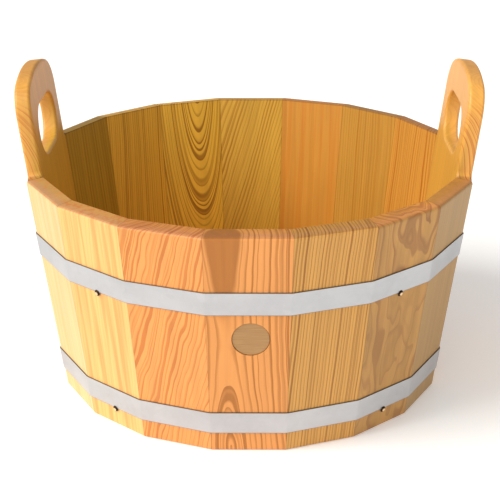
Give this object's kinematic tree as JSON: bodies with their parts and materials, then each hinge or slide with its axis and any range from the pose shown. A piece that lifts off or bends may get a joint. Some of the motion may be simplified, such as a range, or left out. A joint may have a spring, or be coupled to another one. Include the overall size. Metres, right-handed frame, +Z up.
{
  "type": "wooden wash tub",
  "caption": "Coopered wooden wash tub with tapering staves, steel hoops, a flat bottom and tall handle staves with finger holes.",
  "frame": {"origin": "centre of the tub on the floor, under the feet of the staves", "axes": "+Z up along the tub's axis; +X from the middle through the right handle, -X through the left handle; -Y towards the front stave with the badge, +Y towards the lapped ends of the hoops"},
  "size_m": [0.4992, 0.4976, 0.3569],
  "materials": {
    "larch_staves": "planed, satin",
    "larch_handles": "planed, satin",
    "larch_bottom": "planed, satin",
    "beech_dowels": "plain",
    "hoop_steel": "bright galvanised strip",
    "rivet_steel": "bright galvanised",
    "nail_copper": "copper-plated",
    "badge_disc": "smooth, matt, blank"
  },
  "bodies": {
    "root": {"stave_01": "larch_staves", "stave_02": "larch_staves", "stave_03": "larch_staves", "stave_04": "larch_staves", "stave_05": "larch_staves", "stave_06": "larch_staves", "stave_07": "larch_staves", "stave_08": "larch_staves", "stave_09": "larch_staves", "stave_10": "larch_staves", "stave_11": "larch_staves", "stave_12": "larch_staves", "stave_13": "larch_staves", "stave_14": "larch_staves", "handle_stave_right": "larch_handles", "handle_stave_left": "larch_handles", "bottom_board_1": "larch_bottom", "bottom_board_2": "larch_bottom", "bottom_board_3": "larch_bottom", "bottom_board_4": "larch_bottom", "bottom_board_5": "larch_bottom", "bottom_dowels": "beech_dowels", "upper_hoop": "hoop_steel", "lower_hoop": "hoop_steel", "upper_hoop_rivets": "rivet_steel", "lower_hoop_rivets": "rivet_steel", "upper_hoop_nails": "nail_copper", "lower_hoop_nails": "nail_copper", "blank_badge": "badge_disc"}
  },
  "joints": []
}
